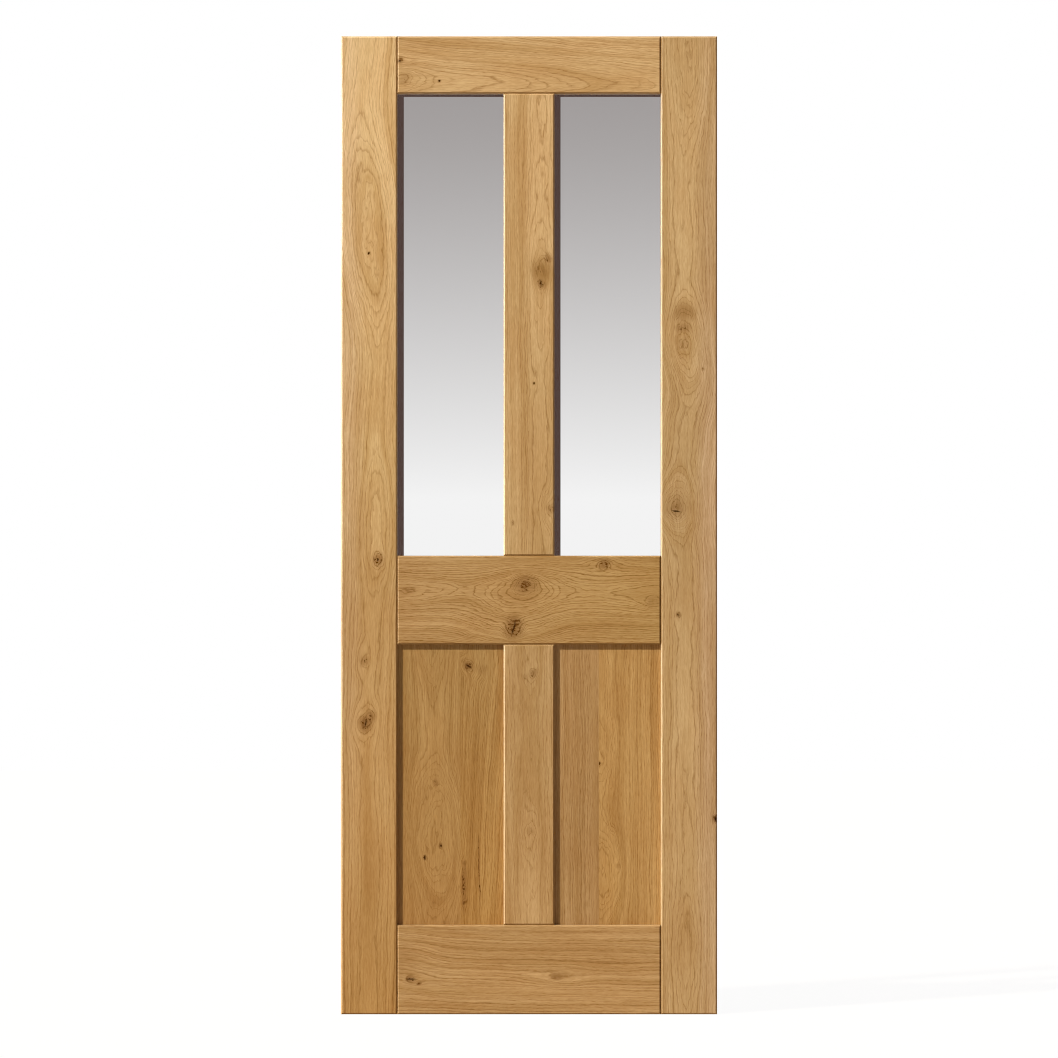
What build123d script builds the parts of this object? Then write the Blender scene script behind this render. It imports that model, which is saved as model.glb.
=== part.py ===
from build123d import *
import os

# A glazed interior door leaf in oak: two panes over two flat panels, square-edged.
# X runs across the leaf from its hanging edge, Y through it from front to back, Z up.
# The origin is on the hanging edge, at the foot of the leaf and half way through it.

# The leaf, and the pieces of its frame
leaf_width = 762.0
leaf_height = 1981.0
leaf_thickness = 35.0
stile_width = 114.0
top_rail_height = 116.0
lock_rail_height = 180.0
bottom_rail_height = 181.0
panel_opening_height = 568.0
upper_muntin_width = 103.0
lower_muntin_width = 103.0
face_arris = 3.0

# The stiles are lipped along their outer edges, under the sawn oak faces
face_layer = 4.0
lipping_depth = 8.0

# The panels stand in grooves, each glued up from two boards
panel_thickness = 11.0
panel_groove_depth = 12.0
panel_face_clearance = 0.1
panel_edge_clearance = 1.5
left_panel_first_board_width = 128.0
right_panel_first_board_width = 90.0

# The panes lie in rebates that are open at the back, against a seal, and beads hold them
pane_thickness = 6.0
glazing_stop_thickness = 12.0
glazing_rebate = 10.0
pane_edge_clearance = 2.0
seal_thickness = 1.5
seal_setback = 1.0
bead_clearance = 0.3

# Places worked out from the sizes above
front_face = -leaf_thickness / 2
back_face = leaf_thickness / 2
stop_back = front_face + glazing_stop_thickness
pane_front = stop_back + seal_thickness
pane_back = pane_front + pane_thickness
between_left = stile_width
between_right = leaf_width - stile_width
leaf_middle = leaf_width / 2
panel_opening_bottom = bottom_rail_height
panel_opening_top = panel_opening_bottom + panel_opening_height
glass_opening_bottom = panel_opening_top + lock_rail_height
glass_opening_top = leaf_height - top_rail_height


def block(x_low, x_high, y_low, y_high, z_low, z_high):
    """A plain block between two corners."""
    middle = ((x_low + x_high) / 2, (y_low + y_high) / 2, (z_low + z_high) / 2)
    return Pos(*middle) * Box(x_high - x_low, y_high - y_low, z_high - z_low)


def grown(opening, by):
    """An opening made larger all round by one amount."""
    x_low, x_high, z_low, z_high = opening
    return (x_low - by, x_high + by, z_low - by, z_high + by)


def opening_block(opening, y_low, y_high):
    """The block that fills an opening from one depth to another."""
    x_low, x_high, z_low, z_high = opening
    return block(x_low, x_high, y_low, y_high, z_low, z_high)


def side_openings(muntin_width, z_low, z_high):
    """The two openings to the left and right of a muntin."""
    muntin_left = leaf_middle - muntin_width / 2
    muntin_right = leaf_middle + muntin_width / 2
    return {
        "left": (between_left, muntin_left, z_low, z_high),
        "right": (muntin_right, between_right, z_low, z_high),
    }


glass_openings = side_openings(upper_muntin_width, glass_opening_bottom, glass_opening_top)
panel_openings = side_openings(lower_muntin_width, panel_opening_bottom, panel_opening_top)


def glazing_rebates():
    """The rebates for the panes, cut from the back as far as the front stops."""
    return [
        opening_block(grown(opening, glazing_rebate), stop_back, back_face)
        for opening in glass_openings.values()
    ]


def panel_grooves():
    """The grooves round the panels, in the middle of the thickness."""
    half_groove = panel_thickness / 2 + panel_face_clearance
    return [
        opening_block(grown(opening, panel_groove_depth), -half_groove, half_groove)
        for opening in panel_openings.values()
    ]


def frame_member(x_low, x_high, z_low, z_high):
    """A stile, rail or muntin, with an arris round both faces, rebated and grooved."""
    member = block(x_low, x_high, front_face, back_face, z_low, z_high)
    rims = [face.edges() for face in member.faces().filter_by(Axis.Y)]
    member = chamfer([edge for rim in rims for edge in rim], face_arris)
    for cut in glazing_rebates() + panel_grooves():
        member -= cut
    return member


def lipping(x_low, x_high):
    """The solid strip along an outer edge, between the two oak faces."""
    return block(x_low, x_high, front_face + face_layer, back_face - face_layer, 0, leaf_height)


def stiles_and_lippings():
    """Both stiles, each notched for the lipping on its outer edge."""
    left_lipping = lipping(0, lipping_depth)
    right_lipping = lipping(leaf_width - lipping_depth, leaf_width)
    return {
        "left_stile": frame_member(0, between_left, 0, leaf_height) - left_lipping,
        "left_edge_lipping": left_lipping,
        "right_stile": frame_member(between_right, leaf_width, 0, leaf_height) - right_lipping,
        "right_edge_lipping": right_lipping,
    }


def rails():
    """The top, lock and bottom rails, between the stiles."""
    heights = {
        "top_rail": (glass_opening_top, leaf_height),
        "lock_rail": (panel_opening_top, glass_opening_bottom),
        "bottom_rail": (0, bottom_rail_height),
    }
    return {
        name: frame_member(between_left, between_right, z_low, z_high)
        for name, (z_low, z_high) in heights.items()
    }


def muntins():
    """The upright between the panes and the one between the panels."""
    upper_half = upper_muntin_width / 2
    lower_half = lower_muntin_width / 2
    return {
        "upper_muntin": frame_member(
            leaf_middle - upper_half, leaf_middle + upper_half,
            glass_opening_bottom, glass_opening_top,
        ),
        "lower_muntin": frame_member(
            leaf_middle - lower_half, leaf_middle + lower_half,
            panel_opening_bottom, panel_opening_top,
        ),
    }


def panel_boards(side, first_board):
    """The two boards of one panel. Its foot stands on the floor of its groove."""
    x_low, x_high, z_low, z_high = panel_openings[side]
    reach = panel_groove_depth - panel_edge_clearance
    joint = x_low + first_board
    spans = {"left": (x_low - reach, joint), "right": (joint, x_high + reach)}
    return {
        f"{side}_panel_{place}_board": block(
            board_left, board_right, -panel_thickness / 2, panel_thickness / 2,
            z_low - panel_groove_depth, z_high + reach,
        )
        for place, (board_left, board_right) in spans.items()
    }


def ring_sides(opening):
    """The mitred quarter of the opening that each side of a glazing ring lies in."""
    x_low, x_high, z_low, z_high = opening
    out = grown(opening, glazing_rebate)
    return {
        "left": [(out[0], out[2]), (x_low, z_low), (x_low, z_high), (out[0], out[3])],
        "right": [(out[1], out[2]), (out[1], out[3]), (x_high, z_high), (x_high, z_low)],
        "bottom": [(out[0], out[2]), (out[1], out[2]), (x_high, z_low), (x_low, z_low)],
        "top": [(out[0], out[3]), (x_low, z_high), (x_high, z_high), (out[1], out[3])],
    }


def mitred(ring, corners):
    """The stretch of a glazing ring that lies on one side of its opening."""
    outline = Plane.XZ * make_face(Polyline(corners, close=True).edges())
    quarter = extrude(outline, leaf_thickness, both=True)
    return ring & quarter


def bead_ring(opening):
    """The beads round one pane, flush with the back, with an arris inside."""
    ring = opening_block(grown(opening, glazing_rebate - bead_clearance), pane_back, back_face)
    ring -= opening_block(opening, pane_back, back_face)
    inner_rim = ring.faces().sort_by(Axis.Y)[-1].inner_wires()[0].edges()
    return chamfer(inner_rim, face_arris)


def seal_ring(opening):
    """The seal between the front stop and one pane, set back behind the stop."""
    ring = opening_block(grown(opening, glazing_rebate), stop_back, pane_front)
    return ring - opening_block(grown(opening, seal_setback), front_face, back_face)


def glazing(side, opening):
    """One pane, the seal in front of it and the beads behind it."""
    pane_reach = glazing_rebate - pane_edge_clearance
    pieces = {f"{side}_pane": opening_block(grown(opening, pane_reach), pane_front, pane_back)}
    beads = bead_ring(opening)
    seals = seal_ring(opening)
    for place, corners in ring_sides(opening).items():
        pieces[f"{side}_pane_{place}_bead"] = mitred(beads, corners)
        pieces[f"{side}_pane_{place}_seal"] = mitred(seals, corners)
    return pieces


def door_leaf():
    """Every piece of the leaf, by name."""
    pieces = stiles_and_lippings() | rails() | muntins()
    pieces |= panel_boards("left", left_panel_first_board_width)
    pieces |= panel_boards("right", right_panel_first_board_width)
    for side, opening in glass_openings.items():
        pieces |= glazing(side, opening)
    return pieces


os.makedirs("parts", exist_ok=True)
for name, piece in door_leaf().items():
    solid = piece.solid() if len(piece.solids()) == 1 else piece
    solid.label = name
    export_step(solid, f"parts/{name}.step")
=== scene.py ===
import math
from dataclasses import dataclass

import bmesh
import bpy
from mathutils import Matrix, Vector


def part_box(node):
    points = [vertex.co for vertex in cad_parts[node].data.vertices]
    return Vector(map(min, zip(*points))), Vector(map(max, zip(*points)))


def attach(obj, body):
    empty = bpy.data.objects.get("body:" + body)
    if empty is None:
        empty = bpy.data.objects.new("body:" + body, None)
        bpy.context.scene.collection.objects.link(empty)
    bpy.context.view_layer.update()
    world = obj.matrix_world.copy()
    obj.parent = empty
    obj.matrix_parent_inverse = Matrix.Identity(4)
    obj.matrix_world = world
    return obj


bl_info = {
    "name": "Glazed oak door leaf",
    "version": (1, 0, 0),
    "blender": (4, 5, 0),
    "location": "3D View > Sidebar > Door leaf",
    "description": "Finishes a glazed oak door leaf and sets its stage",
    "category": "Object",
}

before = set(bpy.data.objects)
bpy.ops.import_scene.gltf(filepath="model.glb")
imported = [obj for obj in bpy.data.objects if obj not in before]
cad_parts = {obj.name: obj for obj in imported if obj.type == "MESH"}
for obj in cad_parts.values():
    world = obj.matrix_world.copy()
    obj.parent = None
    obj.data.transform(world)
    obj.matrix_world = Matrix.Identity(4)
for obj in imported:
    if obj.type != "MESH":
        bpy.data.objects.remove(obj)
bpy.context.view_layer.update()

MM = 0.001

# The leaf's sizes in millimetres, from the frame
LEAF_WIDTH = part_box("right_stile")[1][0] / MM
RIGHT_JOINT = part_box("right_stile")[0][0] / MM
LEAF_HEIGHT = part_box("left_stile")[1][2] / MM
LEAF_THICKNESS = (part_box("left_stile")[1][1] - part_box("left_stile")[0][1]) / MM
CORE_THICKNESS = (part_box("left_edge_lipping")[1][1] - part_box("left_edge_lipping")[0][1]) / MM

SIDES = ("left", "right")
PANE_SIDES = ("left", "right", "bottom", "top")
RAILS = ("top_rail", "lock_rail", "bottom_rail")

# The kinds of shader node that are used most, and the settings of a Mix node that tints a colour
# and of one that covers it
MATH = "ShaderNodeMath"
VECTOR = "ShaderNodeVectorMath"
MAP_RANGE = "ShaderNodeMapRange"
SEPARATE = "ShaderNodeSeparateXYZ"
GROUP = "ShaderNodeGroup"
MIX = "ShaderNodeMix"
TINTED = {"data_type": "RGBA", "blend_type": "MULTIPLY"}
COVERED = {"data_type": "RGBA", "blend_type": "MIX"}

# A Mix node's inputs for colours: the share of the second one, and the two colours
SHARE = 0
FIRST = 6
SECOND = 7

# The tones that the boards run between, palest first. Graded from foot to head, they hold both the
# oak's own tone and painted light: most boards grow paler towards the top and the left, as light
# that falls off away from the upper left.
PALEST = "E3C493"
PALE = "D1B080"
BUFF = "C6A778"
GOLDEN = "C29C63"
DRAB = "BC9C6E"
HONEY = "BB9868"
RUSSET = "BC9254"
TAN = "B5935D"
AMBER = "B58D55"

# The tints of a ring's early wood and of the wood round a knot, and the colours that cover the
# middle of a knot, a slit in it, and the painted shade at the bottom of a vee
EARLY_WOOD = "C4B397"
ROUND_KNOT = "C4B193"
KNOT_BROWN = "5A3612"
SLIT_BROWN = "2A1404"
VEE_SHADE_BROWN = "3A2208"

# The softwood staves run between these two tones. Then the tint of their late wood, and the glue.
STAVE_PALE = "D9B884"
STAVE_TAN = "C9A26C"
LATE_WOOD_TINT = "DDC8AD"
GLUE_BROWN = "6B4A2C"

# The graduated cards from foot to head, the shade behind them, the floor and plain white
CARD_FOOT = "F4F4F4"
CARD_HEAD = "9E9998"
SHADE_BROWN = "422A21"
FLOOR_BUFF = "C8BCAA"
WHITE = "FFFFFF"

# How far the rings stray from round, in millimetres: slowly, quickly, and the more where a
# knot lifts them
WANDER_REACH = 16.0
RIPPLE_REACH = 6.0
UNREST = 0.17

# The rings are unevenly wide: by how many rings they are out, and how quickly that changes
UNEVEN_REACH = 2.2
UNEVEN_PER_RING = 0.37

# The brown line in a ring, in parts of the ring: where it sets in, how much of the next ring it
# fades over above the pith, and how much more at the sides, where the rings stand upright. Then
# the strength of the faintest.
LINE_START = 0.88
LINE_ABOVE_PITH = 0.20
LINE_AT_SIDES = 0.40
FAINTEST_LINE = 0.3

# How strong the lines are between the fibres and how much stronger on them, how strong the pores
# are between the lines and how much stronger in them, and how much bolder a knot makes the lines
LINE_OFF_FIBRES = 0.75
LINE_ON_FIBRES = 0.35
PORES_OFF_LINES = 0.3
PORES_ON_LINES = 0.75
KNOT_BOLDNESS = 0.5

# How dark and speckled a knot is where its brown core starts and where it is full
CORE_START = 0.28
CORE_FULL = 0.62

# How deep each part of the figure lies in the surface, in millimetres, and how much of that
# relief the lacquer leaves
LINE_DEPTH = 0.02
PORE_DEPTH = 0.05
KNOT_DEPTH = 0.08
SLIT_DEPTH = 0.15
RELIEF = 0.6

# The satin lacquer's roughness, how much rougher a pore is, how dull a brown line is, and how
# much the dullest wood still mirrors
LACQUER_ROUGHNESS = 0.36
PORE_ROUGHNESS = 0.16
LINE_DULLNESS = 0.6
DULL_SHINE = 0.02

# Between which distances, counted in its own radii, each kind of mark fades
BULGE_EDGE = (0.0, 2.0)
HEART_EDGE = (0.35, 2.4)
STAIN_EDGE = (0.2, 1.1)
SLIT_EDGE = (0.5, 1.2)

# A knot's heart is longer along the grain by this factor, a slit is this wide in millimetres to
# each side, and the fibres are pushed round a knot by this share of their distance from it
HEART_STRETCH = 1.25
SLIT_HALF_WIDTH = 1.9
PARTING = 0.7

# How far a mark's outline is bent, in millimetres, and a radius so long that no mark fades there
CROOK_REACH = (14, 9, 0)
ENDLESS = 10000.0

# The painted shade in the vee between a stile and a rail, drawn as a dark line, in millimetres:
# half its width, and how far below the face it ends
VEE_SHADE_HALF_WIDTH = 0.6
VEE_DEPTH = 3.2

# The softwood core, in millimetres: its staves' width, how far apart their piths lie, and the
# width of their rings. Then the part of a ring where late wood starts, and of a stave where glue
# ends.
STAVE_WIDTH = 31.0
STAVE_SWING = 160.0
SOFTWOOD_RING = 2.4
LATE_WOOD = 0.45
GLUE_EDGE = (0.015, 0.03)

# A sawn end faces up or down, and lies this near the leaf's head or foot, in millimetres
STEEP = 0.9
END_MARGIN = 0.5

# How far to one side of a bead its pith lies, in millimetres
BEAD_PITH = 70

# The middle of a noise's colours
MID_NOISE = (0.5, 0.5, 0.5)

# The glass bends light less than the 1.52 of real float glass, because the leaf's panes hardly
# mirror. A smear roughens it by this much at most.
GLASS_IOR = 1.36
GLASS_SMEAR = 0.012

# The cards behind the panes: how far above a pane's foot they are at their whitest, how far they
# hang below it, and how far behind them the shade lies
WHITE_FROM = 125 * MM
CARD_DROP = 30 * MM
SHADE_GAP = 2 * MM

# A little over white, because the floor's own paint keeps a share of what is seen. Its mottle
# comes three times in a metre.
FLOOR_GLOW = 1.06
FLOOR_MOTTLE = 3.0

# Where each lamp shines from, and how far off it is drawn
KEY_FROM = (-1.2, -1.0, 1.15)
LEFT_RIM_FROM = (-1, -0.06, 0.18)
TOP_RIM_FROM = (-0.2, -0.06, 1)
LAMP_DISTANCE = 4.0

# The picture's width in pixels, the sensor's in millimetres, and how far the camera sees
IMAGE_PIXELS = 1058
SENSOR_WIDTH = 36.0
CLIP_END = 60.0

# How far the pins' filler stands out of a bead, and the corners of each disc
FILLER_PROUD = 0.05 * MM
FILLER_CORNERS = 16


@dataclass
class Pattern:
    """Noise in a surface: its blobs' size in millimetres along, across and through a board, the
    values at which it sets in and shows in full, and the tint that it then gives."""

    size: tuple
    start: float = 0.0
    full: float = 1.0
    tint: str = WHITE
    detail: float = 2.0
    roughness: float = 0.5


# What makes the rings stray, slowly and quickly, and bends the outlines of the marks
WANDER = Pattern((260, 60, 70), detail=1.0)
RIPPLE = Pattern((46, 13, 18), detail=3.0)
CROOKS = Pattern((34, 20, 30), detail=4.0, roughness=0.62)

# What colours the oak: bands of rings, patches, streaks, fibres, pores, and specks in a knot. Real
# fibres and pores are about 0.02 and 0.3 mm wide. They are drawn 1.2 and 1 mm wide, so that they
# show.
BANDS = Pattern((700, 15, 1), 0.36, 0.66, "E6DDCB")
PATCHES = Pattern((150, 60, 60), 0.38, 0.64, "FAF5EF")
STREAKS = Pattern((110, 2.0, 2.0), 0.34, 0.68, "F1ECE5", detail=3.0, roughness=0.55)
FIBRES = Pattern((15, 1.2, 1.2), 0.36, 0.66, "EFEAE2", detail=1.0)
PORES = Pattern((8, 1.0, 1.0), 0.58, 0.70, "E2D6C2", detail=0.0)
SPECKS = Pattern((6, 3.6, 3.6), 0.42, 0.66, roughness=0.6)

# The smears on the glass, and the cells of the tape and the grit of the filler, which are drawn
# some times their real size, so that they show
SMEARS = Pattern((220, 140, 140), 0.3, 0.7, detail=3.0)
CELLS = Pattern((1.6, 1.6, 1.6), 0.3, 0.7)
GRIT = Pattern((0.5, 0.5, 0.5))


def linear(hex_colour):
    """A colour written as sRGB hex, in linear light."""
    channels = [int(hex_colour[i:i + 2], 16) / 255 for i in (0, 2, 4)]
    return [c / 12.92 if c <= 0.04045 else ((c + 0.055) / 1.055) ** 2.4 for c in channels]


def opaque(hex_colour, stain=(1, 1, 1)):
    """The same under a stain and with an alpha of 1, as a colour socket takes it."""
    return (*(c * s for c, s in zip(linear(hex_colour), stain)), 1.0)


def feed(tree, node, inputs):
    """Feeds a node's inputs from numbers, from sockets, or from a node's first live output."""
    for key, value in inputs.items():
        if isinstance(value, bpy.types.Node):
            value = next(output for output in value.outputs if output.enabled)
        if isinstance(value, bpy.types.NodeSocket):
            tree.links.new(value, node.inputs[key])
        else:
            node.inputs[key].default_value = value


def add(tree, kind, inputs=None, **settings):
    """Adds a node with its settings, and feeds its inputs."""
    node = tree.nodes.new(kind)
    for name, value in settings.items():
        setattr(node, name, value)
    feed(tree, node, inputs or {})
    return node


def new_group(name, inputs, outputs):
    """An empty node group with its sockets."""
    tree = bpy.data.node_groups.new(name, "ShaderNodeTree")
    for in_out, sockets in (("INPUT", inputs), ("OUTPUT", outputs)):
        for socket, kind in sockets.items():
            kind = "NodeSocket" + kind
            tree.interface.new_socket(name=socket, in_out=in_out, socket_type=kind)
    return tree


def new_material(name):
    """A material with one Principled shader, for its patterns to be linked to."""
    material = bpy.data.materials.new(name)
    material.use_nodes = True
    return material, material.node_tree, material.node_tree.nodes["Principled BSDF"]


def board_space(tree, grain):
    """Object coordinates as millimetres along, across and through a board."""
    coordinates = add(tree, "ShaderNodeTexCoord").outputs["Object"]
    scaled = add(tree, VECTOR, {0: coordinates, "Scale": 1 / MM}, operation="SCALE")
    x, y, z = add(tree, SEPARATE, {0: scaled}).outputs
    along, across = (z, x) if grain == "Z" else (x, z)
    return add(tree, "ShaderNodeCombineXYZ", {"X": along, "Y": across, "Z": y})


def grain_noise(tree, place, pattern):
    """The noise of a pattern, with blobs of the pattern's size."""
    scale = [1 / length for length in pattern.size]
    scaled = add(tree, VECTOR, {0: place, 1: scale}, operation="MULTIPLY")
    return add(
        tree, "ShaderNodeTexNoise",
        {"Vector": scaled, "Scale": 1.0, "Detail": pattern.detail, "Roughness": pattern.roughness},
    )


def amount(tree, place, pattern):
    """How strongly a pattern shows, 0 to 1."""
    noise = grain_noise(tree, place, pattern)
    return add(
        tree, MAP_RANGE, {"Value": noise, "From Min": pattern.start, "From Max": pattern.full}
    )


def distance_from(tree, place, centre, turn, radii):
    """How far a place is from a centre, counted in the radii of a turned ellipse."""
    local = add(
        tree, "ShaderNodeMapping",
        {
            "Vector": place, "Location": centre, "Rotation": (0, 0, math.radians(turn)),
            "Scale": (*radii, ENDLESS),
        },
        vector_type="TEXTURE",
    )
    return add(tree, VECTOR, {0: local}, operation="LENGTH")


def faded(tree, away, edge, peak=1.0, curve="SMOOTHSTEP"):
    """A value that falls from its peak to 0 between the two distances of an edge."""
    start, end = edge
    return add(
        tree, MAP_RANGE,
        {"Value": away, "From Min": start, "From Max": end, "To Min": peak, "To Max": 0.0},
        interpolation_type=curve,
    )


def off(tree, value, middle=0.0):
    """How far a value lies from a middle one, to either side."""
    past = add(tree, MATH, {0: value, 1: middle}, operation="SUBTRACT")
    return add(tree, MATH, {0: past}, operation="ABSOLUTE")


def parted_round(tree, parted, place, centre, bulge):
    """Pushes the fibres sideways, so that they pass round a knot."""
    outward = add(tree, VECTOR, {0: place, 1: centre}, operation="SUBTRACT")
    shift = add(tree, VECTOR, {0: outward, "Scale": bulge}, operation="SCALE")
    return add(
        tree, VECTOR, {0: shift, 1: (0, -PARTING, 0), 2: parted}, operation="MULTIPLY_ADD"
    )


@dataclass
class Knot:
    """A knot or swirl: its place and reach on the leaf, how far it lifts the rings, and the
    radius, darkness, turn and slit of its heart."""

    x: float
    z: float
    long: float
    wide: float
    lift: float
    heart: float = 0.0
    dark: float = 0.8
    turn: float = 0.0
    slit: float = 0.0

    def draw(self, tree, sums, centre, place, bent):
        """Lifts the rings and parts the fibres, and darkens and splits the heart."""
        away = distance_from(tree, bent, centre, self.turn, (self.long, self.wide))
        bulge = faded(tree, away, BULGE_EDGE, curve="SMOOTHERSTEP")
        sums["Lift"] = add(
            tree, MATH, {0: bulge, 1: self.lift, 2: sums["Lift"]}, operation="MULTIPLY_ADD"
        )
        if self.heart:
            sums["Parted"] = parted_round(tree, sums["Parted"], place, centre, bulge)
            radii = (self.heart * HEART_STRETCH, self.heart)
            near = distance_from(tree, bent, centre, self.turn, radii)
            dark = faded(tree, near, HEART_EDGE, self.dark)
            sums["Knots"] = add(tree, MATH, {0: dark, 1: sums["Knots"]}, operation="MAXIMUM")
            rise = math.copysign(self.heart, self.lift)
            sums["Lift"] = add(
                tree, MATH, {0: dark, 1: rise, 2: sums["Lift"]}, operation="MULTIPLY_ADD"
            )
        if self.slit:
            radii = (self.slit / 2, SLIT_HALF_WIDTH)
            near = distance_from(tree, bent, centre, self.turn, radii)
            dark = faded(tree, near, SLIT_EDGE, self.dark, curve="LINEAR")
            sums["Slits"] = add(tree, MATH, {0: dark, 1: sums["Slits"]}, operation="MAXIMUM")


@dataclass
class Stain:
    """A browner streak or patch in a board."""

    x: float
    z: float
    long: float
    wide: float
    dark: float
    turn: float = 0.0

    def draw(self, tree, sums, centre, place, bent):
        """Darkens the wood as the wood round a knot is."""
        away = distance_from(tree, bent, centre, self.turn, (self.long, self.wide))
        dark = faded(tree, away, STAIN_EDGE, self.dark)
        sums["Knots"] = add(tree, MATH, {0: dark, 1: sums["Knots"]}, operation="MAXIMUM")


@dataclass
class Wash:
    """A wide soft zone of a board where its tone's red, green and blue are multiplied."""

    x: float
    z: float
    long: float
    wide: float
    factors: tuple
    turn: float = 0.0

    def draw(self, tree, sums, centre, place, bent):
        """Multiplies the tone, most in the middle of the zone."""
        away = distance_from(tree, bent, centre, self.turn, (self.long, self.wide))
        share = faded(tree, away, BULGE_EDGE)
        washed = {SHARE: share, FIRST: sums["Tone"], SECOND: (*self.factors, 1.0)}
        sums["Tone"] = add(tree, MIX, washed, **TINTED)


@dataclass
class Sway:
    """A stretch of a board where its rings lie further over to one side."""

    x: float
    z: float
    long: float
    shift: float

    def draw(self, tree, sums, centre, place, bent):
        """Moves the pith sideways, most in the middle of the stretch."""
        away = distance_from(tree, place, centre, 0, (self.long, ENDLESS))
        share = faded(tree, away, BULGE_EDGE)
        sums["Parted"] = add(
            tree, VECTOR, {0: share, 1: (0, -self.shift, 0), 2: sums["Parted"]},
            operation="MULTIPLY_ADD",
        )


@dataclass
class Board:
    """One sawn board: which way its grain runs, its tones at foot and head, where its pith lies
    across it and behind it, how its rings lean, their width and boldness, and its marks. A mark
    is placed by its distances from the hanging edge and from the leaf's foot, in millimetres."""

    node: str
    grain: str
    foot: str
    head: str
    pith: float
    depth: float
    lean: float
    ring: float
    bold: float
    marks: tuple = ()


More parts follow.
